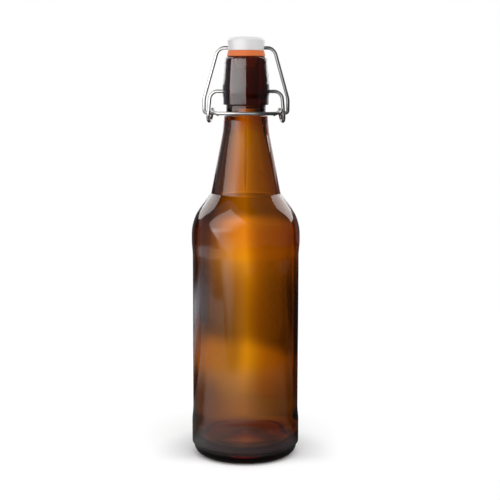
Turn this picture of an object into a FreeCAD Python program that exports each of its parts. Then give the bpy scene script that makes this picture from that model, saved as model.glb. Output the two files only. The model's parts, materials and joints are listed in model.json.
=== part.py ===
import FreeCAD, Part
import math
import os

from FreeCAD import Vector

# Swing top bottle of half a litre: an amber glass bottle, a plastic stopper with a rubber gasket,
# a bail wire that carries the stopper, and a lever wire that pulls the bail down.
# Millimetres. +Z is up, -Y is the front with the thumb bow, and X is the axis of every pivot.
# The origin is on the ground, on the bottle's axis.

# Glass body, from the ground up
BODY_D = 68.7  # across the two contact bands
HEEL_H = 7.8  # height of the heel, below the lower band
HEEL_STEP = 1.3  # from the lower band in to the heel, where the mould's base plate meets its sides
HEEL_STEP_SLOPE = 0.5  # height of the slope of that step
HEEL_STEP_R = 0.3
HEEL_R = 6.2  # round edge between the heel and the base
BEARING_W = 4.0  # width of the flat ring that the bottle stands on
BEARING_EDGE_R = 1.5  # round inner edge of that ring
PUNT_H = 3.6  # height of the hollow under the base
PUNT_D = 26.0  # flat top of that hollow
PUNT_R = 15.0  # round edge of that flat top
LOWER_BAND_TOP = 22.5  # height of the lower band's upper end
PANEL_RELIEF = 0.6  # depth of the label panel below the bands
PANEL_H = 100.5  # height of the label panel
EASE_H = 7.0  # height over which a band runs into the panel
EASE_R = 25.0  # roundness of those runs
UPPER_BAND_H = 4.9  # height of the shoulder's contact band

# Glass shoulder and neck
SHOULDER_R = 30.0  # roundness of the shoulder
SHOULDER_ANGLE = 37.0  # degrees between the shoulder's cone and the axis
NECK_BASE_D = 44.2  # at the crease between shoulder and neck
CREASE_R = 1.2
NECK_CONE_H = 39.0
NECK_TOP_D = 29.1  # at the top of the neck's cone
NECK_BEND_R = 40.0  # roundness between the cone and the collar
COLLAR_H = 9.4
COLLAR_D = 27.8  # at the collar's top edge
GROOVE_D = 25.2  # the waist between the collar and the finish
GROOVE_H = 7.1
GROOVE_SLOPE_H = 1.8  # height of the slope from the collar into the groove
GROOVE_R = 0.7

# Glass finish, the thick end that holds the closure
FINISH_H = 29.8
FINISH_FOOT_D = 28.9  # at its lower end
FINISH_FOOT_H = 3.9  # of that lower end
FINISH_D = 29.8  # round the pivots, where it is widest
FINISH_FLARE_H = 3.1  # from the foot out to the widest part
FINISH_FLARE_R = 6.0
FINISH_WIDE_H = 4.6  # of the widest part
FINISH_EDGE_R = 0.6
FINISH_TAPER_R = 60.0
LIP_D = 26.4  # where the finish's side would meet the plane of the lip
LIP_OUTER_R = 2.2
LIP_INNER_R = 1.2
BORE_D = 16.8  # of the mouth
BORE_H = 29.8  # length of the straight mouth

# Glass thickness
WALL = 2.5  # of the side
SHOULDER_WALL = 2.8
NECK_WALL = 2.9  # at the foot of the neck
BASE_T = 2.6  # above the hollow under the base
INNER_HEEL_R = 10.0
INNER_CREASE_R = 8.0
INNER_NECK_R = 30.0

# Dimples in the finish, in which the lever wire turns
PIVOT_DROP = 21.4  # of the pivots below the lip
DIMPLE_DEPTH = 3.0
DIMPLE_FLARE_D = 4.6  # of the flared entry
DIMPLE_FLARE_H = 1.1
PIVOT_CLEARANCE = 0.08  # radial, between wire and glass
PIVOT_END_PLAY = 0.25

# Stopper and gasket
SEAL_GAP = 0.1  # between the gasket and the lip
GASKET_T = 3.7
GASKET_D = 24.2  # at its lower edge
GASKET_TOP_D = 22.6
GASKET_EDGE_R = 0.6
HEAD_H = 8.5
HEAD_D = 23.9  # at its upper edge
HEAD_FOOT_D = 22.2  # at its lower edge
HEAD_FLAT_D = 12.0  # of its flat top
HEAD_DOME_H = 0.5  # of the fall from that flat to the upper edge
HEAD_DOME_R = 60.0
HEAD_EDGE_R = 2.0
HEAD_FOOT_R = 0.4
SPIGOT_D = 17.2  # of the step that sits in the gasket's recess
SPIGOT_H = 1.2
STEM_D = 12.6
STEM_CLEARANCE = 0.05  # radial, between the gasket and what it is stretched over
NOSE_D = 14.4  # of the nose's upper rim, which keeps the gasket on
NOSE_TIP_D = 11.2
NOSE_H = 7.4
NOSE_RIM_R = 0.3
NOSE_TIP_R = 1.5
CROSS_BORE_WALL = 0.5  # of plastic between the cross bore and the head's lower edge
CROSS_BORE_CLEARANCE = 0.08  # radial

# Wires
WIRE_D = 2.2
WIRE_END_R = 0.4
WIRE_GAP = 0.25  # between two runs of wire that pass each other
EYE_CLEARANCE = 0.1  # between the bail's hook and the top of the lever's eye

# Lever wire, as half widths from the middle to the wire's centre line
HOOK_DROP = 13.5  # of the bail's hooks below the pivots
HOOK_BACK = 1.3  # of the hooks behind the pivots, which holds the closure shut
LEVER_TOP_X = 22.3  # where the pivot run would meet the leg
LEVER_BEND_R = 5.0
EYE_X = 24.0  # at the front lower corner of the eye
EYE_SIZE = 7.3  # height and depth of the eye between centre lines
EYE_BEND_R = 3.3
ARM_STEP = 1.6  # of level arm in front of the eye before it slopes down to the bow
ARM_BEND_R = 4.0
BOW_DROP = 13.6  # of the thumb bow below the pivots
BOW_CLEARANCE = 1.0  # between the bow and the collar
BOW_FRONT_X = 9.0  # half the bow's straight front
BOW_CHEEK_DEPTH = 6.2  # of the slanted cheeks on both sides of that front
BOW_CHEEK_R = 7.0
BOW_FRONT_R = 14.0

# Bail wire, as half widths from the middle to the wire's centre line
BAIL_TOP_X = 17.4  # where the cross run would meet the leg
BAIL_TOP_R = 5.5
BAIL_KNEE_X = 26.3
BAIL_KNEE_H = 9.0  # of the knees above the hooks
BAIL_KNEE_R = 14.0
HOOK_R = 1.8
TAIL_LENGTH = 2.6  # of the hook's bent end, across
TAIL_DROP = 1.2
TAIL_R = 2.2

# Radii and heights that follow
BODY_R = BODY_D / 2
PANEL_R = BODY_R - PANEL_RELIEF
BORE_R = BORE_D / 2
FINISH_R = FINISH_D / 2
FINISH_FOOT_R = FINISH_FOOT_D / 2
HEEL_OUTER_R = BODY_R - HEEL_STEP
WIRE_R = WIRE_D / 2
COLLAR_R = COLLAR_D / 2
NECK_BASE_R = NECK_BASE_D / 2

panel_bottom = LOWER_BAND_TOP + EASE_H
panel_top = panel_bottom + PANEL_H
upper_band_bottom = panel_top + EASE_H
upper_band_top = upper_band_bottom + UPPER_BAND_H
shoulder_slope = math.radians(SHOULDER_ANGLE)
shoulder_corner = upper_band_top + SHOULDER_R * math.tan(shoulder_slope / 2)
crease_height = shoulder_corner + (BODY_R - NECK_BASE_R) / math.tan(shoulder_slope)
cone_top = crease_height + NECK_CONE_H
collar_top = cone_top + COLLAR_H
finish_bottom = collar_top + GROOVE_H
lip_height = finish_bottom + FINISH_H
floor_height = PUNT_H + BASE_T

pivot_height = lip_height - PIVOT_DROP
hook_height = pivot_height - HOOK_DROP
bow_height = pivot_height - BOW_DROP
gasket_bottom = lip_height + SEAL_GAP
gasket_top = gasket_bottom + GASKET_T
head_top = gasket_top + HEAD_H
cross_bore_r = WIRE_R + CROSS_BORE_CLEARANCE
cross_bore_height = gasket_top + CROSS_BORE_WALL + cross_bore_r


def rounded_edges(corners):
    """Straight runs through (point, radius) corners, with a tangent arc of that radius at each corner."""
    edges = []
    start = corners[0][0]
    for (before, _), (point, radius), (after, _) in zip(corners, corners[1:], corners[2:]):
        into = (point - before).normalize()
        out = (after - point).normalize()
        half_turn = into.getAngle(out) / 2
        reach = radius * math.tan(half_turn)
        run_end = point - into * reach
        edges.append(Part.LineSegment(start, run_end).toShape())
        start = point + out * reach
        if radius:
            inside = (out - into).normalize()
            middle = point + inside * (radius / math.cos(half_turn) - radius)
            edges.append(Part.Arc(run_end, middle, start).toShape())
    edges.append(Part.LineSegment(start, corners[-1][0]).toShape())
    return edges


def turned(outline):
    """The solid turned about Z from (radius, height, corner radius) points that start and end on the axis,
    or that come back to their first point."""
    corners = [(Vector(radius, 0, height), corner) for radius, height, corner in outline]
    edges = rounded_edges(corners)
    if outline[0] != outline[-1]:
        edges.append(Part.LineSegment(corners[-1][0], corners[0][0]).toShape())
    face = Part.Face(Part.Wire(edges))
    return face.revolve(Vector(0, 0, 0), Vector(0, 0, 1), 360)


def bent_wire(half_corners):
    """One length of wire through half_corners, from its right end to the middle, and their mirror images."""
    mirrored = [(Vector(-point.x, point.y, point.z), radius) for point, radius in reversed(half_corners)]
    path = Part.Wire(rounded_edges(half_corners + mirrored))
    end, after_end = half_corners[0][0], half_corners[1][0]
    section = Part.Wire(Part.makeCircle(WIRE_R, end, after_end - end))
    wire = path.makePipeShell([section], True, False)
    end_faces = [face for face in wire.Faces if isinstance(face.Surface, Part.Plane)]
    return wire.makeFillet(WIRE_END_R, [edge for face in end_faces for edge in face.Edges])


def shift_along(point, slope, distance):
    """The (radius, height) point at a distance square to a line that leans in by slope from the vertical."""
    radius, height = point
    return radius - distance * math.cos(slope), height - distance * math.sin(slope)


def meeting(point, slope, other_point, other_slope):
    """Where two lines meet that lean in by their slopes from the vertical, as (radius, height)."""
    (radius, height), (other_radius, other_height) = point, other_point
    lean, other_lean = math.tan(slope), math.tan(other_slope)
    meeting_height = (radius + lean * height - other_radius - other_lean * other_height) / (lean - other_lean)
    return radius - lean * (meeting_height - height), meeting_height


def glass_outside():
    """The outline from the middle of the underside up to the outer edge of the lip."""
    bearing_inner = HEEL_OUTER_R - HEEL_R - BEARING_W
    flare_bottom = finish_bottom + FINISH_FOOT_H
    flare_top = flare_bottom + FINISH_FLARE_H
    return [
        (0, PUNT_H, 0),
        (PUNT_D / 2, PUNT_H, PUNT_R),
        (bearing_inner, 0, BEARING_EDGE_R),
        (HEEL_OUTER_R, 0, HEEL_R),
        (HEEL_OUTER_R, HEEL_H - HEEL_STEP_SLOPE, HEEL_STEP_R),
        (BODY_R, HEEL_H, HEEL_STEP_R),
        (BODY_R, LOWER_BAND_TOP, EASE_R),
        (PANEL_R, panel_bottom, EASE_R),
        (PANEL_R, panel_top, EASE_R),
        (BODY_R, upper_band_bottom, EASE_R),
        (BODY_R, shoulder_corner, SHOULDER_R),
        (NECK_BASE_R, crease_height, CREASE_R),
        (NECK_TOP_D / 2, cone_top, NECK_BEND_R),
        (COLLAR_R, collar_top, GROOVE_R),
        (GROOVE_D / 2, collar_top + GROOVE_SLOPE_H, GROOVE_R),
        (GROOVE_D / 2, finish_bottom, GROOVE_R),
        (FINISH_FOOT_R, finish_bottom, FINISH_EDGE_R),
        (FINISH_FOOT_R, flare_bottom, FINISH_FLARE_R),
        (FINISH_R, flare_top, FINISH_FLARE_R),
        (FINISH_R, flare_top + FINISH_WIDE_H, FINISH_TAPER_R),
        (LIP_D / 2, lip_height, LIP_OUTER_R),
    ]


def glass_inside():
    """The outline from the inner edge of the lip down to the middle of the floor."""
    bore_bottom = lip_height - BORE_H
    neck_foot = (NECK_BASE_R - NECK_WALL, crease_height)
    neck_slope = math.atan((neck_foot[0] - BORE_R) / (bore_bottom - crease_height))
    shoulder_line = shift_along((NECK_BASE_R, crease_height), shoulder_slope, SHOULDER_WALL)
    side = PANEL_R - WALL
    crease = meeting(neck_foot, neck_slope, shoulder_line, shoulder_slope)
    shoulder = meeting(shoulder_line, shoulder_slope, (side, 0), 0)
    return [
        (BORE_R, lip_height, LIP_INNER_R),
        (BORE_R, bore_bottom, INNER_NECK_R),
        (*crease, INNER_CREASE_R),
        (*shoulder, SHOULDER_R - SHOULDER_WALL),
        (side, floor_height, INNER_HEEL_R),
        (0, floor_height, 0),
    ]


def dimple():
    """The blind hole for the right end of the lever wire, with its flared entry. The flare goes on past the
    round side of the finish, to twice its depth."""
    hole_r = WIRE_R + PIVOT_CLEARANCE
    bottom = FINISH_R - DIMPLE_DEPTH
    flare_bottom = FINISH_R - DIMPLE_FLARE_H
    flare_spread = DIMPLE_FLARE_D / 2 - hole_r
    across = Vector(1, 0, 0)
    hole = Part.makeCylinder(hole_r, DIMPLE_DEPTH, Vector(bottom, 0, pivot_height), across)
    flare = Part.makeCone(
        hole_r,
        hole_r + 2 * flare_spread,
        2 * DIMPLE_FLARE_H,
        Vector(flare_bottom, 0, pivot_height),
        across,
    )
    return hole.fuse(flare)


def make_glass_bottle():
    glass = turned(glass_outside() + glass_inside())
    right = dimple()
    left = right.mirror(Vector(0, 0, 0), Vector(1, 0, 0))
    return glass.cut([right, left])


def make_stopper_head():
    nose_bottom = gasket_bottom - NOSE_H
    head = turned(
        [
            (0, nose_bottom, 0),
            (NOSE_TIP_D / 2, nose_bottom, NOSE_TIP_R),
            (NOSE_D / 2, gasket_bottom, NOSE_RIM_R),
            (STEM_D / 2, gasket_bottom, 0),
            (STEM_D / 2, gasket_top - SPIGOT_H, 0),
            (SPIGOT_D / 2, gasket_top - SPIGOT_H, 0),
            (SPIGOT_D / 2, gasket_top, 0),
            (HEAD_FOOT_D / 2, gasket_top, HEAD_FOOT_R),
            (HEAD_D / 2, head_top - HEAD_DOME_H, HEAD_EDGE_R),
            (HEAD_FLAT_D / 2, head_top, HEAD_DOME_R),
            (0, head_top, 0),
        ]
    )
    bore = Part.makeCylinder(
        cross_bore_r, HEAD_D, Vector(-HEAD_D / 2, 0, cross_bore_height), Vector(1, 0, 0)
    )
    return head.cut(bore)


def make_sealing_gasket():
    hole_r = STEM_D / 2 + STEM_CLEARANCE
    recess_r = SPIGOT_D / 2 + STEM_CLEARANCE
    return turned(
        [
            (hole_r, gasket_bottom, 0),
            (GASKET_D / 2, gasket_bottom, GASKET_EDGE_R),
            (GASKET_TOP_D / 2, gasket_top, GASKET_EDGE_R),
            (recess_r, gasket_top, 0),
            (recess_r, gasket_top - SPIGOT_H, 0),
            (hole_r, gasket_top - SPIGOT_H, 0),
            (hole_r, gasket_bottom, 0),
        ]
    )


# The eye of the lever wire goes round the bail's hook, which bears on the arm that closes it at the top.
eye_top = hook_height + WIRE_D + EYE_CLEARANCE
eye_bottom = eye_top - EYE_SIZE
eye_front = HOOK_BACK - EYE_SIZE / 2
eye_back = HOOK_BACK + EYE_SIZE / 2
leg_share_at_eye_top = (pivot_height - eye_top) / (pivot_height - eye_bottom)
leg_x_at_eye_top = LEVER_TOP_X + (EYE_X - LEVER_TOP_X) * leg_share_at_eye_top
arm_x = leg_x_at_eye_top - WIRE_D - WIRE_GAP


def make_lever_wire():
    pivot_end = FINISH_R - DIMPLE_DEPTH + PIVOT_END_PLAY
    bow_front = -(COLLAR_R + BOW_CLEARANCE + WIRE_R)
    return bent_wire(
        [
            (Vector(pivot_end, 0, pivot_height), 0),
            (Vector(LEVER_TOP_X, 0, pivot_height), LEVER_BEND_R),
            (Vector(EYE_X, eye_front, eye_bottom), EYE_BEND_R),
            (Vector((EYE_X + arm_x) / 2, eye_back, eye_bottom), EYE_BEND_R),
            (Vector(arm_x, eye_back, eye_top), EYE_BEND_R),
            (Vector(arm_x, eye_front - ARM_STEP, eye_top), ARM_BEND_R),
            (Vector(arm_x, bow_front + BOW_CHEEK_DEPTH, bow_height), BOW_CHEEK_R),
            (Vector(BOW_FRONT_X, bow_front, bow_height), BOW_FRONT_R),
        ]
    )


def make_bail_wire():
    hook = Vector(0, HOOK_BACK, hook_height)
    rise = Vector(0, 0, cross_bore_height) - hook
    length = rise.Length
    up = rise.normalize()
    across = Vector(1, 0, 0)
    tail_x = arm_x - WIRE_R - WIRE_GAP
    flat_corners = [
        (tail_x - TAIL_LENGTH, -TAIL_DROP, 0),
        (tail_x, 0, TAIL_R),
        (BAIL_KNEE_X, 0, HOOK_R),
        (BAIL_KNEE_X, BAIL_KNEE_H, BAIL_KNEE_R),
        (BAIL_TOP_X, length, BAIL_TOP_R),
    ]
    return bent_wire([(hook + across * x + up * height, radius) for x, height, radius in flat_corners])


nodes = {
    "glass_bottle": make_glass_bottle(),
    "stopper_head": make_stopper_head(),
    "sealing_gasket": make_sealing_gasket(),
    "bail_wire": make_bail_wire(),
    "lever_wire": make_lever_wire(),
}

os.makedirs("parts", exist_ok=True)
for name, shape in nodes.items():
    shape.exportStep(f"parts/{name}.step")
    print(name, shape.ShapeType, len(shape.Solids), shape.isValid(), round(shape.Volume, 2))

print("pivots at", (0, 0, round(pivot_height, 3)))
print("hooks at", (0, HOOK_BACK, round(hook_height, 3)))
print("cross bore at", (0, 0, round(cross_bore_height, 3)))
print("lip at", round(lip_height, 3), "top at", round(head_top, 3))
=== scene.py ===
import json
import math

import bpy
import bmesh
from mathutils import Matrix, Quaternion, Vector, noise


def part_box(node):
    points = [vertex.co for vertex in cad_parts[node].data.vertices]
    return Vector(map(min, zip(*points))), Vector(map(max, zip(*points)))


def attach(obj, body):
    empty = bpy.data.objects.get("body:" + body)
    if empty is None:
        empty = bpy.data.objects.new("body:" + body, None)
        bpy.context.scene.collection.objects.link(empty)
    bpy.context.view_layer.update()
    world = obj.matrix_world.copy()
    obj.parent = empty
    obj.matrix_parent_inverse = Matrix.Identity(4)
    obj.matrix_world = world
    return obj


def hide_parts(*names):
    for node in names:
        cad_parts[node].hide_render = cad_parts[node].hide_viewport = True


# A swing top bottle of amber glass with its stopper closed, on a white floor.
# Metres. +Z is up, -Y is the front, and the bottle's axis is the Z axis.

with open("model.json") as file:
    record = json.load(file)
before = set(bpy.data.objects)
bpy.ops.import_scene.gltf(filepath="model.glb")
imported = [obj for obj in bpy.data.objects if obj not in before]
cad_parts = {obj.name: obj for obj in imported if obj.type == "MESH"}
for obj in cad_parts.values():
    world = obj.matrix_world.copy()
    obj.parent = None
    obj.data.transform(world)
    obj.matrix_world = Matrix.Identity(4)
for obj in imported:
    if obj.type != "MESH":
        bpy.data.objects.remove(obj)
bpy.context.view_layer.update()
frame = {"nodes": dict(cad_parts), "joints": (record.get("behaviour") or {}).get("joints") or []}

MM = 0.001

# Sizes that the frame gives
glass_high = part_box("glass_bottle")[1]
body_r = glass_high.x
lip_height = glass_high.z
pivots = {joint["name"]: Vector(joint["pos_m"]) for joint in frame["joints"]}
pivot_height = pivots["lever_pivot"].z

# Glass outline, in the same sizes as the CAD solid
HEEL_H = 7.8 * MM
HEEL_STEP = 1.3 * MM
HEEL_STEP_SLOPE = 0.5 * MM
HEEL_STEP_R = 0.3 * MM
HEEL_R = 6.2 * MM
BEARING_W = 4.0 * MM
BEARING_EDGE_R = 1.5 * MM
PUNT_H = 3.6 * MM
PUNT_R = 15.0 * MM
PUNT_FLAT_R = 13.0 * MM
LOWER_BAND_TOP = 22.5 * MM
PANEL_RELIEF = 0.6 * MM
PANEL_H = 100.5 * MM
EASE_H = 7.0 * MM
EASE_R = 25.0 * MM
UPPER_BAND_H = 4.9 * MM
SHOULDER_R = 30.0 * MM
SHOULDER_ANGLE = math.radians(37.0)
NECK_BASE_R = 22.1 * MM
CREASE_R = 1.2 * MM
NECK_CONE_H = 39.0 * MM
NECK_TOP_R = 14.55 * MM
NECK_BEND_R = 40.0 * MM
COLLAR_H = 9.4 * MM
COLLAR_R = 13.9 * MM
GROOVE_DEEP_R = 12.6 * MM
GROOVE_H = 7.1 * MM
GROOVE_SLOPE_H = 1.8 * MM
GROOVE_R = 0.7 * MM
FINISH_FOOT_R = 14.45 * MM
FINISH_FOOT_H = 3.9 * MM
FINISH_R = 14.9 * MM
FINISH_FLARE_H = 3.1 * MM
FINISH_FLARE_R = 6.0 * MM
FINISH_WIDE_H = 4.6 * MM
FINISH_EDGE_R = 0.6 * MM
FINISH_TAPER_R = 60.0 * MM
LIP_R = 13.2 * MM
LIP_OUTER_R = 2.2 * MM
LIP_INNER_R = 1.2 * MM
BORE_R = 8.4 * MM
BORE_H = 29.8 * MM
WALL = 2.5 * MM
SHOULDER_WALL = 2.8 * MM
NECK_WALL = 2.9 * MM
FLOOR_T = 2.6 * MM
INNER_HEEL_R = 10.0 * MM
INNER_CREASE_R = 8.0 * MM
INNER_NECK_R = 30.0 * MM
DIMPLE_R = 1.18 * MM
DIMPLE_BOTTOM_R = DIMPLE_R / 3
DIMPLE_DEPTH = 3.0 * MM
DIMPLE_FLARE_R = 2.3 * MM
DIMPLE_FLARE_H = 1.1 * MM

# Places on the glass that follow from these sizes
panel_r = body_r - PANEL_RELIEF
panel_bottom = LOWER_BAND_TOP + EASE_H
panel_top = panel_bottom + PANEL_H
upper_band_bottom = panel_top + EASE_H
upper_band_top = upper_band_bottom + UPPER_BAND_H
shoulder_corner = upper_band_top + SHOULDER_R * math.tan(SHOULDER_ANGLE / 2)
crease_height = shoulder_corner + (body_r - NECK_BASE_R) / math.tan(SHOULDER_ANGLE)
cone_top = crease_height + NECK_CONE_H
collar_top = cone_top + COLLAR_H
finish_bottom = collar_top + GROOVE_H
floor_height = PUNT_H + FLOOR_T

# Marks of the glass mould
SEAM_ANGLES = (math.pi / 2, -math.pi / 2)
SEAM_OFFSETS = [math.radians(degrees) for degrees in (0.35, 0.8, 1.3)]
SEAM_HEIGHT = 0.10 * MM
SEAM_WIDTH = 0.32 * MM
INNER_WAVE = 0.28 * MM
INNER_WAVE_LENGTH = 24.0 * MM
FINISH_WAVE = 0.14 * MM
FINISH_WAVE_LENGTH = 12.0 * MM
BODY_WAVE = 0.03 * MM
BODY_WAVE_LENGTH = 22.0 * MM
FLOOR_RING_RADII = (21.0 * MM, 17.0 * MM, 13.0 * MM)
FLOOR_RING_W = 2.6 * MM
FLOOR_RING_H = 0.22 * MM
FLOOR_RING_EDGE_R = 1.6 * MM

# Mould lines on the plastic and the rubber
PARTING_W = 0.18 * MM
PARTING_H = 0.05 * MM

# Fineness of the meshes
BEND_STEP = math.radians(4.0)
RUN_STEP = 3.5 * MM
GLASS_SEGMENTS = 192
DIMPLE_SEGMENTS = 48
WALL_SEGMENTS = 48
ON_AXIS_R = 0.001 * MM
SHARP_ANGLE = math.radians(40.0)

# Materials, where a pair goes with the low and the high end of a noise
WHITE = (1.0, 1.0, 1.0, 1.0)
AMBER = (0.935, 0.755, 0.01, 1.0)
AMBER_DENSITY = 1200.0
GLASS_IOR = 1.52
GLASS_ROUGHNESS = (0.0, 0.04)
PLASTIC_COLOURS = ((0.66, 0.65, 0.66, 1.0), (0.71, 0.70, 0.71, 1.0))
PLASTIC_ROUGHNESS = (0.30, 0.44)
PLASTIC_GRAIN_SHARE = 0.5
RUBBER_COLOURS = ((0.60, 0.125, 0.022, 1.0), (0.70, 0.18, 0.045, 1.0))
RUBBER_ROUGHNESS = (0.42, 0.60)
RUBBER_SPECULAR = 0.3
RUBBER_GRAIN_SHARE = 0.6
STEEL_COLOURS = ((0.26, 0.255, 0.25, 1.0), (0.39, 0.38, 0.37, 1.0))
STEEL_ROUGHNESS = (0.24, 0.38)
STEEL_GRAIN_H = 0.03 * MM
STEEL_GRAIN_STRENGTH = 0.4

# Noises of the materials, as (scale, detail)
GLASS_SMEAR = (90.0, 4.0)
PLASTIC_CLOUD = (140.0, 3.0)
PLASTIC_GRAIN = (2600.0, 2.0)
RUBBER_CLOUD = (220.0, 4.0)
RUBBER_GRAIN = (3200.0, 3.0)
STEEL_CLOUD = (260.0, 4.0)
STEEL_GRAIN = (2400.0, 3.0)

# Camera
CAMERA_PLACE = Vector((2.73, -757.9, 233.0)) * MM
CAMERA_PITCH = math.radians(7.6)
CAMERA_ROLL = math.radians(0.14)
CAMERA_LENS = 86.4
CAMERA_SENSOR_W = 36.0
CAMERA_NEAREST = 0.01

# Light on the object
AMBIENT = 0.80
SUN_SHARE = 0.28
SUN_FROM = Vector((0.06, -0.62, 0.75))
SUN_ANGLE = math.radians(70.0)
BOUNCES = 32
GLASS_BOUNCES = 24
MIRROR_BOUNCES = 12

# On the stage a sheet is (left, right, low, high) in its own plane. A smooth step is (start, end), and the
# values at its start and its end follow where they are not 0 and 1.

# Table, a little turned
TABLE_TURN = math.radians(31.8)
TABLE_FRONT = -0.152
TABLE_BACK = 0.297
TABLE_SIDE = 0.65
FLOOR_COLOUR = (0.925, 0.925, 0.925, 1.0)
FLOOR_FADE = 0.07
FLOOR_BESIDE = (0.9 * body_r, body_r)
FLOOR_GLOW = 0.13
FLOOR_GLOW_REACH = (0.038, 0.064)
FLOOR_GLOW_FRONT = (-0.010, -0.032, 0.0, 0.21)

# Softbox that only reflections show
SOFTBOX_AT = Vector((-222, -226, 344)) * MM
SOFTBOX_FACING = Vector((-0.608, -0.793, 0.039))
SOFTBOX_W = 0.58
SOFTBOX_H = 0.51
SOFTBOX_ROLL = math.radians(-36.7)
SOFTBOX_FADE = 0.05
SOFTBOX_FOOT = (0.0, 0.085, 0.3, 1.5)
SOFTBOX_MIDDLE = (0.18, 0.235, 1.0, 2.3)
SOFTBOX_TOP = (0.24, 0.27, 1.0, 0.72)
SOFTBOX_LOW = (0.24, 0.20)
SOFTBOX_LOW_LEFT = (1.05, 1.9, 1.0, 2.5)
SOFTBOX_WAIST = 0.18
SOFTBOX_WAIST_SLOPE = 2.86
SOFTBOX_RIGHT_EDGE = (0.43, 1.18)

# Small light at the finish that only reflections show
FINISH_LIGHT_AT = Vector((-0.0305, -0.0395, 0.0))
FINISH_LIGHT_LOW = 0.2195
FINISH_LIGHT = (-0.042, 0.043, FINISH_LIGHT_LOW, 0.264)
FINISH_LIGHT_FOOT = (FINISH_LIGHT_LOW, FINISH_LIGHT_LOW + 0.016, 3.5, 5.6)
FINISH_LIGHT_RIGHT = (-0.030, 0.002, 1.0, 0.60)
FINISH_TRAY = (-0.026, 0.045, 0.028, 0.0505)
FINISH_TRAY_LEVEL = 3.5
FINISH_HOOD = (-0.060, 0.060, 0.028, 0.0505)

# Tall panels that only reflections show, with a lower edge of (outward, height) points
RIM_PANEL_X = 0.42
RIM_PANEL_Y = 0.56
RIM_PANEL_LEVEL = 2.7
RIM_PANEL_TOP = 1.12
RIM_PANEL_INNER = -0.20
RIM_PANEL_OUTER = 0.48
RIM_PANEL_INNER_EDGE = ((RIM_PANEL_INNER, 0.26), (0.10, 0.27))
RIM_PANEL_OUTER_EDGE = ((0.42, 0.60), (RIM_PANEL_OUTER, 0.90))
RIM_PANEL_KNEE_X = 0.27
RIM_PANEL_LEFT_KNEE = 0.34
RIM_PANEL_RIGHT_KNEE = 0.29

# Dark cards
CARD_LEVEL = 0.01
CARD_HEIGHT = 0.0005

# Backdrop that only the glass shows, painted with light and shade
SCREEN_Y = 0.12
SCREEN_SIDE = 0.60
SCREEN_TOP = 0.45
# Painted pool of light in the middle, falling off to both sides
SCREEN_FALL = (0.04, 0.16, 1.0, 0.3)
SCREEN_LEFT = (0.004, -0.046, 1.0, 0.08)
SCREEN_RIGHT = (0.140, 0.070, 0.28, 0.02)
SCREEN_HALF = 0.0060
SCREEN_NECK = (0.150, 0.164, 1.0, 0.85)
SCREEN_FINISH = (0.236, 0.25, 1.0, 0.04)
# Painted glow behind the shoulder and painted shade behind the crease
SHOULDER_GLOW = 1.4
SHOULDER_GLOW_LOW = (0.082, 0.122)
SHOULDER_GLOW_HIGH = (0.150, 0.138)
CREASE_SHADE = 0.58
CREASE_SHADE_LOW = (0.136, 0.148)
CREASE_SHADE_HIGH = (0.164, 0.150)
# Painted light that is dimmer and softer behind the label panel
PANEL_DIM_LEVEL = 0.56
PANEL_DIM_LOW = (0.042, 0.056)
PANEL_DIM_HIGH = (0.125, 0.062)
PANEL_DIM_LEFT = (0.004, -0.022, 1.0, 0.55)
PANEL_DIM_HALF = 0.011
LOW_PART = (0.056, 0.041)
LOW_PART_SLOPE = 0.2
LOW_PART_LEFT = (0.0, -0.012, 1.0, 0.58)
# Darker foot, a painted shadow of the bottle on the table behind it
FOOT_LEVEL = 0.44
FOOT_TOP = (0.036, 0.0)
FOOT_LEFT = (0.0, -0.052, 1.0, 0.22)
FOOT_RIGHT = 0.18
FOOT_HALF = 0.014
WARM = (1.0, 0.77, 0.6, 1.0)
WARM_FROM = -0.002
WARM_LOW_FROM = 0.004
WARM_RISE = (0.0, 0.014)
WARM_TOP = (0.145, 0.115)

# Dark card behind the finish that only the glass shows
FINISH_CARD_Y = 0.021
FINISH_CARD = (-0.03, 0.03, 0.2255, 0.262)
FINISH_CARD_CLEAR = 0.14

# Low dark screen that only reflections show, with a clear patch
LOW_SCREEN_SIDE = 0.42
LOW_SCREEN_TOP = 0.186
LOW_SCREEN_MIDDLE = 0.158
LOW_SCREEN_NOTCH = 0.068
LOW_SCREEN_CLEAR = 0.10
LOW_SCREEN_END = (-0.24, -0.40)
PATCH_SIDE = (-0.05, -0.12)
PATCH_LOW = (0.01, 0.055)
PATCH_HIGH = (0.092, 0.066)

# Dark wall in front that only the glass shows
FRONT_WALL_R = 0.40
FRONT_WALL_TOP = 0.60
FRONT_WALL_CLEAR = (-0.36, -0.05, 0.40, 0.65)
FRONT_WALL_HIGH = (0.12, 0.21)
FRONT_WALL_HIGH_CLEAR = 0.08
FRONT_WALL_END = (0.12, 0.17)

# Dark card on the table that only the glass shows, painted with the bottle's shadow
FLOOR_CARD = (-0.42, 0.42, -0.42, SCREEN_Y)
FLOOR_CARD_DEPTH = (0.02, SCREEN_Y, 0.22, FOOT_LEVEL)
FLOOR_CARD_NEAR = (0.09, 0.05)
FLOOR_CARD_NEAR_RIGHT = 0.8
FLOOR_CARD_UNDER = (0.65 * body_r, 1.15 * body_r, 0.08, 1.0)
FLOOR_CARD_WIDE = (0.09, 0.14)
FLOOR_CARD_FORWARD = (0.0, -0.03)
FLOOR_CARD_ABOUT = (0.07, 0.16, 0.02, 0.5)
FLOOR_CARD_FAR = (0.22, FRONT_WALL_R)
FLOOR_CARD_BACK = (SCREEN_Y, -0.02, 0.12, 1.0)
FLOOR_CARD_END = (FRONT_WALL_R - 0.005, FRONT_WALL_R)

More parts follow.
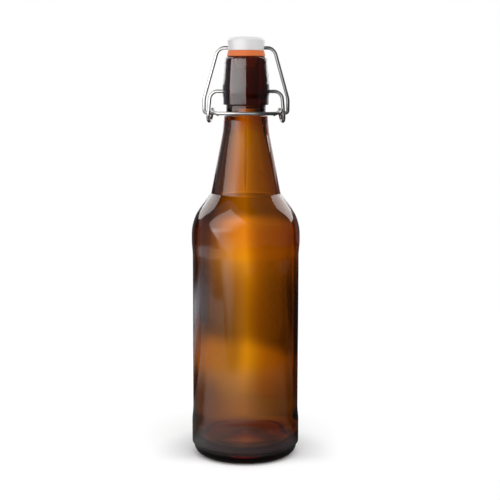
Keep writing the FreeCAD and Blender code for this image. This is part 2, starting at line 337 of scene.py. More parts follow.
# Shade on the table that only reflections show, with a painted reflection of the lit table in front and a
# painted shadow behind
FLOOR_SHADE = (-0.80, 0.80, -0.80, 0.80)
FLOOR_SHADE_NEAR = (0.33, 0.25)
FLOOR_SHADE_FRONT = (0.03, -0.02)
FLOOR_SHADE_GLOW = (-0.10, 0.16, 0.95, 0.16)
FLOOR_SHADE_BASE = (body_r, 0.065, 0.08, 1.0)
FLOOR_SHADE_RIGHT = (-0.10, 0.06, 0.95, 0.10)
FLOOR_SHADE_BEHIND = (-0.02, 0.03)
FLOOR_SHADE_BACK = (0.17, 0.27, 0.3, 1.0)
FLOOR_SHADE_FAR = (0.40, 0.58, 0.5, 0.9)

# Dim wall far about the bottle that only reflections show
COOL = (0.92, 0.97, 1.10, 1.0)
SURROUND_R = 1.2
SURROUND_LEFT = 0.28
SURROUND_RIGHT = 0.10
SURROUND_ACROSS = (-0.6, 0.3)
SURROUND_LOW_LEFT = (-0.6, -0.1, SURROUND_LEFT, 1.2)
SURROUND_LOW_FOOT = (-0.27, -0.17, 0.3, 1.0)
SURROUND_LOW_TOP = (-0.01, -0.13)
SURROUND_SLANT = 0.114
SURROUND_OPEN = (0.85, 0.96)


def add_run(points, end, longest):
    """Adds points from the last one to end, no further apart than longest."""
    start = points[-1]
    steps = max(1, math.ceil((end - start).length / longest))
    for step in range(1, steps + 1):
        points.append(start.lerp(end, step / steps))


def rounded_path(corners, longest):
    """Points along straight runs through (point, radius) corners, with a tangent arc at each corner."""
    points = [corners[0][0]]
    for (before, _), (point, radius), (after, _) in zip(corners, corners[1:], corners[2:]):
        into = (point - before).normalized()
        out = (after - point).normalized()
        turn = into.angle(out)
        reach = radius * math.tan(turn / 2)
        add_run(points, point - into * reach, longest)
        if not radius:
            continue
        centre = point + (out - into).normalized() * radius / math.cos(turn / 2)
        spoke = points[-1] - centre
        axis = into.cross(out)
        steps = math.ceil(turn / BEND_STEP)
        for step in range(1, steps + 1):
            points.append(centre + Quaternion(axis, turn * step / steps) @ spoke)
    add_run(points, corners[-1][0], longest)
    return points


def outline_points(outline):
    """Points of an outline of (radius, height, corner radius), as vectors with the radius along X."""
    return rounded_path([(Vector((r, 0, z)), corner) for r, z, corner in outline], RUN_STEP)


def even_angles(count):
    return [2 * math.pi * step / count for step in range(count)]


def add_object(name, data):
    piece = bpy.data.objects.new(name, data)
    bpy.context.scene.collection.objects.link(piece)
    return piece


def lathe(name, points, angles, ripple=None):
    """A mesh turned about Z. ripple(index, angle) gives how far a point moves out from its outline."""
    verts = []
    rings = []
    for index, point in enumerate(points):
        if point.x < ON_AXIS_R:
            rings.append([len(verts)])
            verts.append((0, 0, point.z))
            continue
        rings.append(range(len(verts), len(verts) + len(angles)))
        for angle in angles:
            radius = point.x + (ripple(index, angle) if ripple else 0)
            verts.append((radius * math.cos(angle), radius * math.sin(angle), point.z))
    faces = []
    for low, high in zip(rings, rings[1:]):
        for here in range(len(angles)):
            after = (here + 1) % len(angles)
            if len(low) == 1:
                faces.append((low[0], high[here], high[after]))
            elif len(high) == 1:
                faces.append((low[here], high[0], low[after]))
            else:
                faces.append((low[here], high[here], high[after], low[after]))
    mesh = bpy.data.meshes.new(name)
    mesh.from_pydata(verts, [], faces)
    tidy_mesh(mesh)
    return add_object(name, mesh)


def tidy_mesh(mesh):
    """Turns the faces outward and shades them smooth, apart from sharp edges."""
    work = bmesh.new()
    work.from_mesh(mesh)
    bmesh.ops.recalc_face_normals(work, faces=work.faces)
    work.to_mesh(mesh)
    work.free()
    mesh.shade_smooth()
    mesh.set_sharp_from_angle(angle=SHARP_ANGLE)


def cut(piece, cutters):
    """Takes the cutters out of the piece for good."""
    for cutter in cutters:
        modifier = piece.modifiers.new("cut", "BOOLEAN")
        modifier.object = cutter
        modifier.operation = "DIFFERENCE"
        modifier.solver = "EXACT"
    shown = piece.evaluated_get(bpy.context.evaluated_depsgraph_get())
    mesh = bpy.data.meshes.new_from_object(shown)
    piece.modifiers.clear()
    piece.data = mesh
    tidy_mesh(mesh)
    for cutter in cutters:
        bpy.data.objects.remove(cutter)


# Glass bottle


def shift_along(point, slope, distance):
    """A (radius, height) point moved in, square to a line that leans in by slope from the vertical."""
    radius, height = point
    return radius - distance * math.cos(slope), height - distance * math.sin(slope)


def meeting(point, slope, other_point, other_slope):
    """Where two lines meet that lean in by their slopes from the vertical, as (radius, height)."""
    (radius, height), (other_radius, other_height) = point, other_point
    lean, other_lean = math.tan(slope), math.tan(other_slope)
    apart = radius + lean * height - other_radius - other_lean * other_height
    meeting_height = apart / (lean - other_lean)
    return radius - lean * (meeting_height - height), meeting_height


def glass_outside():
    """The outline from the middle of the underside up to the middle of the lip."""
    heel_outer_r = body_r - HEEL_STEP
    bearing_inner = heel_outer_r - HEEL_R - BEARING_W
    flare_bottom = finish_bottom + FINISH_FOOT_H
    flare_top = flare_bottom + FINISH_FLARE_H
    return [
        (0, PUNT_H, 0),
        (PUNT_FLAT_R, PUNT_H, PUNT_R),
        (bearing_inner, 0, BEARING_EDGE_R),
        (heel_outer_r, 0, HEEL_R),
        (heel_outer_r, HEEL_H - HEEL_STEP_SLOPE, HEEL_STEP_R),
        (body_r, HEEL_H, HEEL_STEP_R),
        (body_r, LOWER_BAND_TOP, EASE_R),
        (panel_r, panel_bottom, EASE_R),
        (panel_r, panel_top, EASE_R),
        (body_r, upper_band_bottom, EASE_R),
        (body_r, shoulder_corner, SHOULDER_R),
        (NECK_BASE_R, crease_height, CREASE_R),
        (NECK_TOP_R, cone_top, NECK_BEND_R),
        (COLLAR_R, collar_top, GROOVE_R),
        (GROOVE_DEEP_R, collar_top + GROOVE_SLOPE_H, GROOVE_R),
        (GROOVE_DEEP_R, finish_bottom, GROOVE_R),
        (FINISH_FOOT_R, finish_bottom, FINISH_EDGE_R),
        (FINISH_FOOT_R, flare_bottom, FINISH_FLARE_R),
        (FINISH_R, flare_top, FINISH_FLARE_R),
        (FINISH_R, flare_top + FINISH_WIDE_H, FINISH_TAPER_R),
        (LIP_R, lip_height, LIP_OUTER_R),
        ((LIP_R + BORE_R) / 2, lip_height, 0),
    ]


def glass_inside():
    """The outline from the middle of the lip down to the middle of the floor."""
    bore_bottom = lip_height - BORE_H
    neck_foot = (NECK_BASE_R - NECK_WALL, crease_height)
    neck_slope = math.atan((neck_foot[0] - BORE_R) / (bore_bottom - crease_height))
    shoulder_line = shift_along((NECK_BASE_R, crease_height), SHOULDER_ANGLE, SHOULDER_WALL)
    side = panel_r - WALL
    crease = meeting(neck_foot, neck_slope, shoulder_line, SHOULDER_ANGLE)
    shoulder = meeting(shoulder_line, SHOULDER_ANGLE, (side, 0), 0)
    rings = []
    for radius in FLOOR_RING_RADII:
        rings.append((radius + FLOOR_RING_W / 2, floor_height, FLOOR_RING_EDGE_R))
        rings.append((radius, floor_height + FLOOR_RING_H, FLOOR_RING_EDGE_R))
        rings.append((radius - FLOOR_RING_W / 2, floor_height, FLOOR_RING_EDGE_R))
    return [
        ((LIP_R + BORE_R) / 2, lip_height, 0),
        (BORE_R, lip_height, LIP_INNER_R),
        (BORE_R, bore_bottom, INNER_NECK_R),
        (*crease, INNER_CREASE_R),
        (*shoulder, SHOULDER_R - SHOULDER_WALL),
        (side, floor_height, INNER_HEEL_R),
        *rings,
        (0, floor_height, 0),
    ]


def ramp(value, low, high):
    """0 below low and 1 above high, with a smooth rise between them."""
    share = min(max((value - low) / (high - low), 0), 1)
    return share * share * (3 - 2 * share)


def wave(place, length):
    """Smooth waves of about that length, from -1 to 1."""
    return noise.noise(place / length)


def make_dimple(side):
    """The cutter for the blind hole of a lever pivot, on the side that the sign gives."""
    spread = DIMPLE_FLARE_R - DIMPLE_R
    points = outline_points(
        [
            (0, FINISH_R - DIMPLE_DEPTH, 0),
            (DIMPLE_R, FINISH_R - DIMPLE_DEPTH, DIMPLE_BOTTOM_R),
            (DIMPLE_R, FINISH_R - DIMPLE_FLARE_H, DIMPLE_R),
            (DIMPLE_R + 2 * spread, FINISH_R + DIMPLE_FLARE_H, 0),
            (0, FINISH_R + DIMPLE_FLARE_H, 0),
        ]
    )
    cutter = lathe("dimple", points, even_angles(DIMPLE_SEGMENTS))
    turn = Matrix.Rotation(side * math.pi / 2, 4, "Y")
    cutter.data.transform(Matrix.Translation((0, 0, pivot_height)) @ turn)
    return cutter


def make_glass_bottle():
    """The hollow glass, with waves in its surface and a mould seam up the front and back of the neck."""
    outside = outline_points(glass_outside())
    inside = outline_points(glass_inside())[1:]
    points = outside + inside
    extra = [seam + side * offset for seam in SEAM_ANGLES for offset in SEAM_OFFSETS for side in (-1, 1)]
    angles = sorted({angle % (2 * math.pi) for angle in even_angles(GLASS_SEGMENTS) + extra})

    def ripple(index, angle):
        point = points[index]
        place = Vector((point.x * math.cos(angle), point.x * math.sin(angle), point.z))
        if index >= len(outside):
            above_floor = ramp(point.z, floor_height + INNER_HEEL_R / 2, panel_bottom)
            below_bore = 1 - ramp(point.z, cone_top, collar_top)
            return INNER_WAVE * above_floor * below_bore * wave(place, INNER_WAVE_LENGTH)
        body_part = ramp(point.z, LOWER_BAND_TOP, panel_bottom)
        finish_part = ramp(point.z, crease_height, finish_bottom)
        below_lip = 1 - ramp(point.z, lip_height - LIP_OUTER_R, lip_height)
        waves = BODY_WAVE * body_part * (1 - finish_part) * (wave(place, BODY_WAVE_LENGTH) - 1)
        waves += FINISH_WAVE * finish_part * below_lip * (wave(place, FINISH_WAVE_LENGTH) - 1)
        off_seam = min(abs(math.remainder(angle - seam, 2 * math.pi)) for seam in SEAM_ANGLES) * point.x
        seam_part = ramp(point.z, crease_height, crease_height + NECK_CONE_H / 4) * below_lip
        return waves + SEAM_HEIGHT * seam_part * math.exp(-((off_seam / SEAM_WIDTH) ** 2))

    bottle = lathe("bottle_glass", points, angles, ripple)
    cut(bottle, [make_dimple(-1), make_dimple(1)])
    return bottle


# Materials


class Shader:
    """A new node material with a Principled shader, and short ways to add nodes to it."""

    def __init__(self, name):
        self.material = bpy.data.materials.new(name)
        self.material.use_nodes = True
        self.nodes = self.material.node_tree.nodes
        self.links = self.material.node_tree.links
        self.surface = self.nodes["Principled BSDF"]
        self.output = self.nodes["Material Output"]

    def add(self, kind, inputs=None, **settings):
        """A node with its settings, and inputs that are either values or outputs of other nodes."""
        node = self.nodes.new(kind)
        for name, value in settings.items():
            setattr(node, name, value)
        for name, value in (inputs or {}).items():
            self.feed(node.inputs[name], value)
        return node

    def feed(self, socket, value):
        if isinstance(value, bpy.types.NodeSocket):
            self.links.new(value, socket)
        else:
            socket.default_value = value

    def set(self, **inputs):
        """Sets the Principled shader's inputs. An underscore stands for a space."""
        for name, value in inputs.items():
            self.feed(self.surface.inputs[name.replace("_", " ")], value)

    def place(self):
        return self.add("ShaderNodeTexCoord").outputs["Object"]

    def world_place(self):
        return self.add("ShaderNodeNewGeometry").outputs["Position"]

    def away(self):
        """How far a place is from its object's origin."""
        return self.add("ShaderNodeVectorMath", {0: self.place()}, operation="LENGTH").outputs["Value"]

    def seen(self):
        """1 where the camera, a reflection or glass shows the surface, and 0 where it gives light."""
        path = self.add("ShaderNodeLightPath").outputs
        either = self.math("MAXIMUM", path["Is Camera Ray"], path["Is Glossy Ray"])
        return self.math("MAXIMUM", either, path["Is Transmission Ray"])

    def split(self, vector):
        return self.add("ShaderNodeSeparateXYZ", {"Vector": vector}).outputs

    def noise(self, scale, detail):
        inputs = {"Vector": self.place(), "Scale": scale, "Detail": detail}
        return self.add("ShaderNodeTexNoise", inputs).outputs["Fac"]

    def between(self, value, low, high):
        """A 0 to 1 value spread from low to high."""
        inputs = {"Value": value, "To Min": low, "To Max": high}
        return self.add("ShaderNodeMapRange", inputs).outputs["Result"]

    def mix(self, value, low, high):
        """A colour between two colours. The Mix node takes them at 6 and 7 and gives theirs at 2."""
        node = self.add("ShaderNodeMix", data_type="RGBA")
        self.feed(node.inputs[0], value)
        self.feed(node.inputs[6], low)
        self.feed(node.inputs[7], high)
        return node.outputs[2]

    def math(self, operation, first, second=0.0, third=0.0):
        return self.add("ShaderNodeMath", {0: first, 1: second, 2: third}, operation=operation).outputs[0]

    def product(self, first, *others):
        for other in others:
            first = self.math("MULTIPLY", first, other)
        return first

    def step(self, value, low, high, to_low=0.0, to_high=1.0):
        """A smooth change from to_low to to_high as the value goes from low to high."""
        inputs = {"Value": value, "From Min": low, "From Max": high, "To Min": to_low, "To Max": to_high}
        return self.add("ShaderNodeMapRange", inputs, interpolation_type="SMOOTHSTEP").outputs["Result"]

    def zone(self, value, rise, fall):
        """A step up, times a step down further on."""
        return self.product(self.step(value, *rise), self.step(value, *fall))

    def line_at(self, axis, place, width):
        """1 on a line square to an axis at a place on it, and 0 past the width to each side."""
        off_line = self.math("SUBTRACT", self.split(self.place())[axis], place)
        return self.step(self.math("ABSOLUTE", off_line), width, 0.0)

    def lerp(self, value, low, high):
        """A value between two values. The Mix node takes them at 2 and 3 and gives theirs at 0."""
        node = self.add("ShaderNodeMix", data_type="FLOAT")
        self.feed(node.inputs[0], value)
        self.feed(node.inputs[2], low)
        self.feed(node.inputs[3], high)
        return node.outputs[0]

    def halved(self, value, half):
        """1 up to zero, and then half as much at each further half."""
        halves = self.math("DIVIDE", self.math("MAXIMUM", value, 0.0), half)
        return self.math("POWER", 0.5, halves)

    def bump(self, height, distance, strength=1.0):
        inputs = {"Height": height, "Distance": distance, "Strength": strength}
        return self.add("ShaderNodeBump", inputs).outputs["Normal"]


def amber_glass():
    """Clear glass with faint smears that takes up more light the thicker it is."""
    shader = Shader("amber_glass_fine")
    shader.set(
        Base_Color=WHITE,
        Roughness=shader.between(shader.noise(*GLASS_SMEAR), *GLASS_ROUGHNESS),
        IOR=GLASS_IOR,
        Transmission_Weight=1.0,
    )
    amber = {"Color": AMBER, "Density": AMBER_DENSITY}
    absorption = shader.add("ShaderNodeVolumeAbsorption", amber)
    shader.links.new(absorption.outputs["Volume"], shader.output.inputs["Volume"])
    return shader.material


def middle(piece):
    """The middle of a piece's own box, in its own place."""
    corners = [Vector(corner) for corner in piece.bound_box]
    return sum(corners, Vector()) / len(corners)


def white_plastic(head):
    """Moulded plastic with a fine grain and a parting line down both sides of the head."""
    shader = Shader("white_plastic_fine")
    cloud = shader.noise(*PLASTIC_CLOUD)
    grain = shader.noise(*PLASTIC_GRAIN)
    parting = shader.line_at("Y", middle(head).y, PARTING_W)
    relief = shader.math("MULTIPLY_ADD", grain, PLASTIC_GRAIN_SHARE, parting)
    shader.set(
        Base_Color=shader.mix(cloud, *PLASTIC_COLOURS),
        Roughness=shader.between(cloud, *PLASTIC_ROUGHNESS),
        Normal=shader.bump(relief, PARTING_H),
    )
    return shader.material


def orange_rubber(gasket):
    """Moulded rubber with a fine grain and a flash line round its middle."""
    shader = Shader("orange_rubber_fine")
    cloud = shader.noise(*RUBBER_CLOUD)
    grain = shader.noise(*RUBBER_GRAIN)
    flash = shader.line_at("Z", middle(gasket).z, PARTING_W)
    relief = shader.math("MULTIPLY_ADD", grain, RUBBER_GRAIN_SHARE, flash)
    shader.set(
        Base_Color=shader.mix(cloud, *RUBBER_COLOURS),
        Roughness=shader.between(grain, *RUBBER_ROUGHNESS),
        Specular_IOR_Level=RUBBER_SPECULAR,
        Normal=shader.bump(relief, PARTING_H),
    )
    return shader.material


def steel_wire():
    """Drawn steel with a cloudy surface and a fine grain."""
    shader = Shader("steel_wire_fine")
    cloud = shader.noise(*STEEL_CLOUD)
    grain = shader.noise(*STEEL_GRAIN)
    shader.set(
        Base_Color=shader.mix(cloud, *STEEL_COLOURS),
        Metallic=1.0,
        Roughness=shader.between(cloud, *STEEL_ROUGHNESS),
        Normal=shader.bump(grain, STEEL_GRAIN_H, STEEL_GRAIN_STRENGTH),
    )
    return shader.material


def dress(piece, material):
    piece.data.materials.clear()
    piece.data.materials.append(material)


# Stage


def make_camera():
    data = bpy.data.cameras.new("camera")
    data.sensor_width = CAMERA_SENSOR_W
    data.lens = CAMERA_LENS
    data.clip_start = CAMERA_NEAREST
    camera = add_object("camera", data)
    pitch = Matrix.Rotation(math.pi / 2 - CAMERA_PITCH, 4, "X")
    roll = Matrix.Rotation(CAMERA_ROLL, 4, "Z")
    camera.matrix_world = Matrix.Translation(CAMERA_PLACE) @ pitch @ roll
    bpy.context.scene.camera = camera


def rectangle(left, right, low, high):
    return [(left, low), (right, low), (right, high), (left, high)]


def add_sheet(name, corners):
    """A flat sheet in its own XY plane."""
    mesh = bpy.data.meshes.new(name)
    mesh.from_pydata([(x, y, 0) for x, y in corners], [], [range(len(corners))])
    return add_object(name, mesh)


def add_round_wall(name, radius, top):
    """A round wall about the Z axis, as far below the floor as above it, with a ceiling."""
    points = [Vector((radius, 0, -top)), Vector((radius, 0, top)), Vector((0, 0, top))]
    return lathe(name, points, even_angles(WALL_SEGMENTS))


def turn_to(panel, centre, facing, roll=0.0):
    turn = facing.to_track_quat("Z", "Y").to_matrix().to_4x4()
    panel.matrix_world = Matrix.Translation(centre) @ turn @ Matrix.Rotation(roll, 4, "Z")


def stand_up(sheet, depth):
    """Stands a flat sheet up across the view at a depth, so that its Y is the height."""
    sheet.matrix_world = Matrix.Translation((0, depth, 0)) @ Matrix.Rotation(math.pi / 2, 4, "X")


def hide_from_camera(sheet, reflected):
    """Leaves a sheet to be seen in reflections, or else through glass. It gives no light and no shadow."""
    sheet.visible_camera = False
    sheet.visible_diffuse = False
    sheet.visible_shadow = False
    sheet.visible_glossy = reflected
    sheet.visible_transmission = not reflected


def dress_glowing(sheet, shader, level, clear_share=0.0, colour=WHITE):
    """A glow in place of the Principled shader, which lets a share of what is behind it through."""
    shader.nodes.remove(shader.surface)
    lit = shader.add("ShaderNodeEmission", {"Strength": level, "Color": colour}).outputs[0]
    clear = shader.add("ShaderNodeBsdfTransparent").outputs[0]
    mixed = shader.add("ShaderNodeMixShader", {0: clear_share, 1: lit, 2: clear})
    shader.links.new(mixed.outputs[0], shader.output.inputs["Surface"])
    dress(sheet, shader.material)


def make_floor():
    """A white table top that stands a little turned, with soft edges. It glows a little where it is seen,
    a painted light that is nil under the bottle, strongest just in front of it and rising away from it,
    which softens the shadow."""
    floor = add_sheet("floor", rectangle(-TABLE_SIDE, TABLE_SIDE, TABLE_FRONT, TABLE_BACK))
    floor.matrix_world = Matrix.Rotation(TABLE_TURN, 4, "Z")
    shader = Shader("floor_white")
    parts = shader.split(shader.place())
    front = shader.step(parts["Y"], TABLE_FRONT, TABLE_FRONT + FLOOR_FADE)
    back = shader.step(parts["Y"], TABLE_BACK, TABLE_BACK - FLOOR_FADE)
    sides = shader.step(shader.math("ABSOLUTE", parts["X"]), TABLE_SIDE, TABLE_SIDE - FLOOR_FADE)
    away = shader.away()
    # Painted light: the glow is nil under the bottle, strongest just in front of it and rises away from it,
    # which lightens the floor's shadow there.
    beside = shader.step(away, *FLOOR_BESIDE)
    in_front = shader.step(shader.split(shader.world_place())["Y"], *FLOOR_GLOW_FRONT)
    glow = shader.step(away, *FLOOR_GLOW_REACH, in_front, FLOOR_GLOW)
    shader.set(
        Base_Color=FLOOR_COLOUR,
        Roughness=1.0,
        Specular_IOR_Level=0.0,
        Alpha=shader.product(front, back, sides),
        Emission_Color=WHITE,
        Emission_Strength=shader.product(shader.seen(), beside, glow),
    )
    dress(floor, shader.material)


def make_softbox():
    """A softbox on one corner, in front on the left, with soft edges, a waist and a dim lower corner."""
    half_w = SOFTBOX_W / 2
    half_h = SOFTBOX_H / 2
    softbox = add_sheet("softbox", rectangle(-half_w, half_w, -half_h, half_h))
    turn_to(softbox, SOFTBOX_AT, SOFTBOX_FACING, SOFTBOX_ROLL)
    shader = Shader("softbox_light")
    place = shader.split(shader.world_place())
    height = place["Z"]
    leftward = shader.math("DIVIDE", place["X"], place["Y"])
    low_left = shader.step(leftward, *SOFTBOX_LOW_LEFT)
    level = shader.product(
        shader.step(height, *SOFTBOX_FOOT),
        shader.step(height, *SOFTBOX_MIDDLE),
        shader.step(height, *SOFTBOX_TOP),
        shader.lerp(shader.step(height, *SOFTBOX_LOW), 1.0, low_left),
    )
    from_waist = shader.math("ABSOLUTE", shader.math("SUBTRACT", height, SOFTBOX_WAIST))
    right_edge = shader.math("MULTIPLY_ADD", from_waist, SOFTBOX_WAIST_SLOPE, leftward)
    parts = shader.split(shader.place())
    shown = shader.product(
        shader.step(shader.math("ABSOLUTE", parts["X"]), half_w, half_w - SOFTBOX_FADE),
        shader.step(shader.math("ABSOLUTE", parts["Y"]), half_h, half_h - SOFTBOX_FADE),
        shader.step(right_edge, *SOFTBOX_RIGHT_EDGE),
    )
    dress_glowing(softbox, shader, level, shader.math("SUBTRACT", 1.0, shown))
    hide_from_camera(softbox, reflected=True)


def make_finish_light():
    """A small panel close in front on the left, at the height of the finish."""
    panel = add_sheet("finish_light", rectangle(*FINISH_LIGHT))
    turn_to(panel, FINISH_LIGHT_AT, FINISH_LIGHT_AT)
    shader = Shader("finish_light_panel")
    place = shader.split(shader.world_place())
    level = shader.product(
        shader.step(place["Z"], *FINISH_LIGHT_FOOT),
        shader.step(place["X"], *FINISH_LIGHT_RIGHT),
    )
    dress_glowing(panel, shader, level)
    hide_from_camera(panel, reflected=True)


def make_finish_tray():
    """A lit tray at the foot of the finish light, and a dark hood below that keeps both off the shoulder."""
    turn = Matrix.Rotation(math.atan2(-FINISH_LIGHT_AT.x, FINISH_LIGHT_AT.y), 4, "Z")
    for name, shape, drop, level in (
        ("finish_tray", FINISH_TRAY, 0.0, FINISH_TRAY_LEVEL),
        ("finish_hood", FINISH_HOOD, CARD_HEIGHT, CARD_LEVEL),
    ):
        sheet = add_sheet(name, rectangle(*shape))
        sheet.matrix_world = Matrix.Translation((0, 0, FINISH_LIGHT_LOW - drop)) @ turn
        dress_glowing(sheet, Shader(name + "_glow"), level)
        hide_from_camera(sheet, reflected=True)


def make_rim_panels():
    """A tall panel on each side behind, with a lower edge that rises outwards."""
    for name, side, knee in (
        ("left_panel", -1, RIM_PANEL_LEFT_KNEE),
        ("right_panel", 1, RIM_PANEL_RIGHT_KNEE),
    ):
        edge = [
            *RIM_PANEL_INNER_EDGE,
            (RIM_PANEL_KNEE_X, knee),
            *RIM_PANEL_OUTER_EDGE,
            (RIM_PANEL_OUTER, RIM_PANEL_TOP),
            (RIM_PANEL_INNER, RIM_PANEL_TOP),
        ]
        panel = add_sheet(name, [(-side * outward, height) for outward, height in edge])
        place = Vector((side * RIM_PANEL_X, RIM_PANEL_Y, 0))
        turn_to(panel, place, place)
        dress_glowing(panel, Shader(name + "_light"), RIM_PANEL_LEVEL)
        hide_from_camera(panel, reflected=True)


def make_screen():
    """The backdrop that the glass shows behind it, painted with light and shade: a painted pool of light in
    the middle that is darker to both sides, warm on the right, dimmer and softer behind the label panel,
    with a painted glow behind the shoulder, a painted shade behind the crease and a painted shadow of the
    bottle along its foot."""
    screen = add_sheet("screen", rectangle(-SCREEN_SIDE, SCREEN_SIDE, CARD_HEIGHT, SCREEN_TOP))
    stand_up(screen, SCREEN_Y)
    shader = Shader("screen_light")
    parts = shader.split(shader.place())
    across = parts["X"]
    height = parts["Y"]
    low_part = shader.step(shader.math("MULTIPLY_ADD", across, LOW_PART_SLOPE, height), *LOW_PART)
    # The foot is a painted shadow of the bottle, the crease a painted shade and the shoulder a painted glow;
    # behind the label panel the painted light is dimmer and softer.
    foot = shader.step(height, *FOOT_TOP)
    panel_dim = shader.zone(height, PANEL_DIM_LOW, PANEL_DIM_HIGH)
    crease = shader.zone(height, CREASE_SHADE_LOW, CREASE_SHADE_HIGH)
    shoulder = shader.zone(height, SHOULDER_GLOW_LOW, SHOULDER_GLOW_HIGH)
    half = shader.lerp(low_part, shader.lerp(panel_dim, SCREEN_HALF, PANEL_DIM_HALF), FOOT_HALF)
    right_end = shader.lerp(low_part, shader.step(height, *SCREEN_RIGHT), FOOT_RIGHT)
    left = shader.lerp(low_part, shader.step(across, *SCREEN_LEFT), shader.step(across, *LOW_PART_LEFT))
    level = shader.product(
        shader.lerp(shader.halved(across, half), right_end, 1.0),
        shader.lerp(foot, left, shader.step(across, *FOOT_LEFT)),
        shader.lerp(panel_dim, 1.0, shader.step(across, *PANEL_DIM_LEFT)),
        shader.step(shader.math("ABSOLUTE", across), *SCREEN_FALL),
        shader.lerp(shoulder, 1.0, SHOULDER_GLOW),
        shader.lerp(panel_dim, 1.0, PANEL_DIM_LEVEL),
        shader.lerp(foot, 1.0, FOOT_LEVEL),
        shader.lerp(crease, 1.0, CREASE_SHADE),
        shader.step(height, *SCREEN_NECK),
        shader.step(height, *SCREEN_FINISH),
    )
    warm_from = shader.lerp(low_part, WARM_FROM, WARM_LOW_FROM)
    warm_side = shader.step(shader.math("SUBTRACT", across, warm_from), *WARM_RISE)
    warmth = shader.product(warm_side, shader.step(height, *WARM_TOP))
    dress_glowing(screen, shader, level, colour=shader.mix(warmth, WHITE, WARM))
    hide_from_camera(screen, reflected=False)


def make_finish_card():
    """A dark card close behind the finish, which keeps its thick glass dark."""
    card = add_sheet("finish_card", rectangle(*FINISH_CARD))
    stand_up(card, FINISH_CARD_Y)
    dress_glowing(card, Shader("finish_card_dark"), CARD_LEVEL, FINISH_CARD_CLEAR)
    hide_from_camera(card, reflected=False)


def make_low_screen():
    """A dark screen behind the bottle up to the foot of its neck, which glass and metal reflect. It is
    lower in the middle, clearer in a patch on the left, and fades out further left."""
    corners = [
        (-LOW_SCREEN_SIDE, 0.0),
        (LOW_SCREEN_SIDE, 0.0),
        (LOW_SCREEN_SIDE, LOW_SCREEN_TOP),
        (LOW_SCREEN_NOTCH, LOW_SCREEN_TOP),
        (LOW_SCREEN_NOTCH, LOW_SCREEN_MIDDLE),
        (-LOW_SCREEN_NOTCH, LOW_SCREEN_MIDDLE),
        (-LOW_SCREEN_NOTCH, LOW_SCREEN_TOP),
        (-LOW_SCREEN_SIDE, LOW_SCREEN_TOP),
    ]
    screen = add_sheet("low_screen", corners)
    stand_up(screen, SCREEN_Y)
    shader = Shader("low_screen_dark")
    parts = shader.split(shader.place())
    patch = shader.product(
        shader.step(parts["X"], *PATCH_SIDE),
        shader.zone(parts["Y"], PATCH_LOW, PATCH_HIGH),
    )
    end = shader.step(parts["X"], *LOW_SCREEN_END)
    clear = shader.lerp(end, shader.lerp(patch, LOW_SCREEN_CLEAR, 1.0), 1.0)
    dress_glowing(screen, shader, CARD_LEVEL, clear)
    hide_from_camera(screen, reflected=True)


def make_floor_card():
    """A card flat on the table that the glass shows, painted with the bottle's shadow. Behind the bottle it
    carries on the screen's foot, and it is darkest right under the bottle. Beside and in front of the bottle
    it is dark, and paler further off."""
    card = add_sheet("floor_card", rectangle(*FLOOR_CARD))
    card.location.z = CARD_HEIGHT
    shader = Shader("floor_card_dark")
    parts = shader.split(shader.place())
    across = parts["X"]
    depth = parts["Y"]
    away = shader.away()
    right_end = shader.lerp(shader.step(away, *FLOOR_CARD_NEAR), FOOT_RIGHT, FLOOR_CARD_NEAR_RIGHT)
    # Painted shadow of the bottle on the table behind it, darkest right under it.
    behind = shader.product(
        shader.step(depth, *FLOOR_CARD_DEPTH),
        shader.step(across, *FOOT_LEFT),
        shader.lerp(shader.halved(across, FOOT_HALF), right_end, 1.0),
        shader.step(away, *FLOOR_CARD_UNDER),
    )
    # Painted shadow beside and in front of the bottle, paler further off.
    near_to_far = shader.lerp(
        shader.step(away, *FLOOR_CARD_FAR),
        shader.step(away, *FLOOR_CARD_ABOUT),
        shader.step(depth, *FRONT_WALL_CLEAR),
    )
    about = shader.product(near_to_far, shader.step(depth, *FLOOR_CARD_BACK))
    wide = shader.step(shader.math("ABSOLUTE", across), *FLOOR_CARD_WIDE)
    outside = shader.math("MAXIMUM", wide, shader.step(depth, *FLOOR_CARD_FORWARD))
    level = shader.lerp(outside, behind, about)
    dress_glowing(card, shader, level, shader.step(away, *FLOOR_CARD_END))
    hide_from_camera(card, reflected=False)


def make_floor_shade():
    """A shade flat on the table that glass and metal reflect. It lets the table through on the left and is
    dark on the right, darker close behind the bottle as a painted shadow, and in front of the bottle it
    glows as a painted reflection of the lit table, dim right at the base as a painted shadow."""
    shade = add_sheet("floor_shade", rectangle(*FLOOR_SHADE))
    shade.location.z = CARD_HEIGHT
    shader = Shader("floor_shade_dark")
    parts = shader.split(shader.place())
    across = parts["X"]
    depth = parts["Y"]
    away = shader.away()
    near_front = shader.product(
        shader.step(away, *FLOOR_SHADE_NEAR),
        shader.step(depth, *FLOOR_SHADE_FRONT),
    )
    # Painted reflection of the lit table in front, dim right at the base as a painted shadow.
    glow = shader.product(
        shader.step(across, *FLOOR_SHADE_GLOW),
        shader.step(away, *FLOOR_SHADE_BASE),
    )
    # Close behind the bottle less of the table shows, a painted shadow.
    behind = shader.step(depth, *FLOOR_SHADE_BEHIND)
    clear = shader.product(
        shader.step(across, *FLOOR_SHADE_RIGHT),
        shader.lerp(behind, 1.0, shader.step(away, *FLOOR_SHADE_BACK)),
        shader.step(away, *FLOOR_SHADE_FAR),
        shader.math("SUBTRACT", 1.0, near_front),
    )
    dress_glowing(shade, shader, shader.lerp(near_front, CARD_LEVEL, glow), clear)
    hide_from_camera(shade, reflected=True)


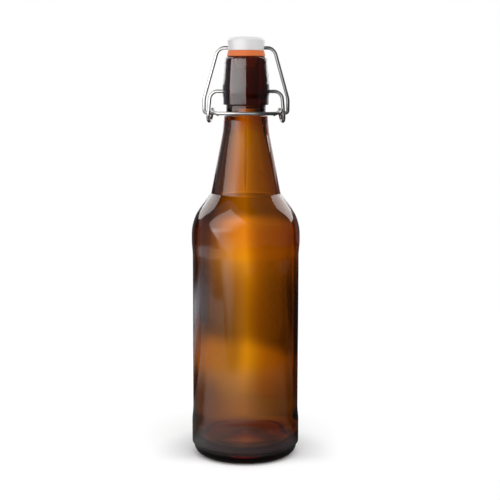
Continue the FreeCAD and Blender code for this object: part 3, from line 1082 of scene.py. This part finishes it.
def make_surround():
    """A dim cool wall and ceiling far about the bottle, open at the back, which glass and metal reflect."""
    surround = add_round_wall("surround", SURROUND_R, SURROUND_R)
    shader = Shader("surround_dim")
    parts = shader.split(shader.world_place())
    low = shader.zone(parts["Z"], SURROUND_LOW_FOOT, SURROUND_LOW_TOP)
    left = shader.lerp(low, SURROUND_LEFT, shader.step(parts["Y"], *SURROUND_LOW_LEFT))
    level = shader.lerp(shader.step(parts["X"], *SURROUND_ACROSS), left, SURROUND_RIGHT)
    behind = shader.math("MULTIPLY_ADD", parts["X"], SURROUND_SLANT, parts["Y"])
    dress_glowing(surround, shader, level, shader.step(behind, *SURROUND_OPEN), COOL)
    hide_from_camera(surround, reflected=True)


def make_front_wall():
    """A dark round wall in front of the bottle, clearer low down, which keeps light from the front out of
    the thick glass."""
    wall = add_round_wall("front_wall", FRONT_WALL_R, FRONT_WALL_TOP)
    shader = Shader("front_wall_dark")
    parts = shader.split(shader.world_place())
    high = shader.step(parts["Z"], *FRONT_WALL_HIGH)
    clear = shader.lerp(high, shader.step(parts["Y"], *FRONT_WALL_CLEAR), FRONT_WALL_HIGH_CLEAR)
    end = shader.step(parts["Y"], *FRONT_WALL_END)
    dress_glowing(wall, shader, CARD_LEVEL, shader.lerp(end, clear, 1.0))
    hide_from_camera(wall, reflected=False)


def make_sun():
    """A wide soft sun, which alone would light a white floor to its share of white."""
    data = bpy.data.lights.new("sun", "SUN")
    direction = SUN_FROM.normalized()
    data.energy = SUN_SHARE * math.pi / direction.z
    data.angle = SUN_ANGLE
    sun = add_object("sun", data)
    sun.rotation_mode = "QUATERNION"
    sun.rotation_quaternion = direction.to_track_quat("Z", "Y")
    sun.visible_glossy = False
    sun.visible_transmission = False


def make_world():
    """Soft even light on the object, and white where the camera, reflections and glass see it."""
    world = bpy.data.worlds.new("studio")
    world.use_nodes = True
    bpy.context.scene.world = world
    nodes = world.node_tree.nodes
    links = world.node_tree.links
    path = nodes.new("ShaderNodeLightPath").outputs
    seen = path["Is Camera Ray"]
    for ray in ("Is Glossy Ray", "Is Transmission Ray"):
        either = nodes.new("ShaderNodeMath")
        either.operation = "MAXIMUM"
        links.new(seen, either.inputs[0])
        links.new(path[ray], either.inputs[1])
        seen = either.outputs[0]
    even = nodes["Background"]
    even.inputs["Color"].default_value = WHITE
    even.inputs["Strength"].default_value = AMBIENT
    white = nodes.new("ShaderNodeBackground")
    white.inputs["Color"].default_value = WHITE
    white.inputs["Strength"].default_value = 1.0
    mixed = nodes.new("ShaderNodeMixShader")
    links.new(seen, mixed.inputs[0])
    links.new(even.outputs[0], mixed.inputs[1])
    links.new(white.outputs[0], mixed.inputs[2])
    links.new(mixed.outputs[0], nodes["World Output"].inputs["Surface"])


scene = bpy.context.scene
scene.view_settings.view_transform = "Standard"
scene.cycles.max_bounces = BOUNCES
scene.cycles.transmission_bounces = GLASS_BOUNCES
scene.cycles.glossy_bounces = MIRROR_BOUNCES

make_camera()
make_floor()
make_softbox()
make_finish_light()
make_finish_tray()
make_rim_panels()
make_screen()
make_finish_card()
make_low_screen()
make_floor_card()
make_floor_shade()
make_surround()
make_front_wall()
make_sun()
make_world()

bottle = make_glass_bottle()
dress(bottle, amber_glass())
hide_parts("glass_bottle")
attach(bottle, "bottle")

head = frame["nodes"]["stopper_head"]
dress(head, white_plastic(head))
gasket = frame["nodes"]["sealing_gasket"]
dress(gasket, orange_rubber(gasket))
wire_material = steel_wire()
dress(frame["nodes"]["bail_wire"], wire_material)
dress(frame["nodes"]["lever_wire"], wire_material)

bpy.context.view_layer.update()
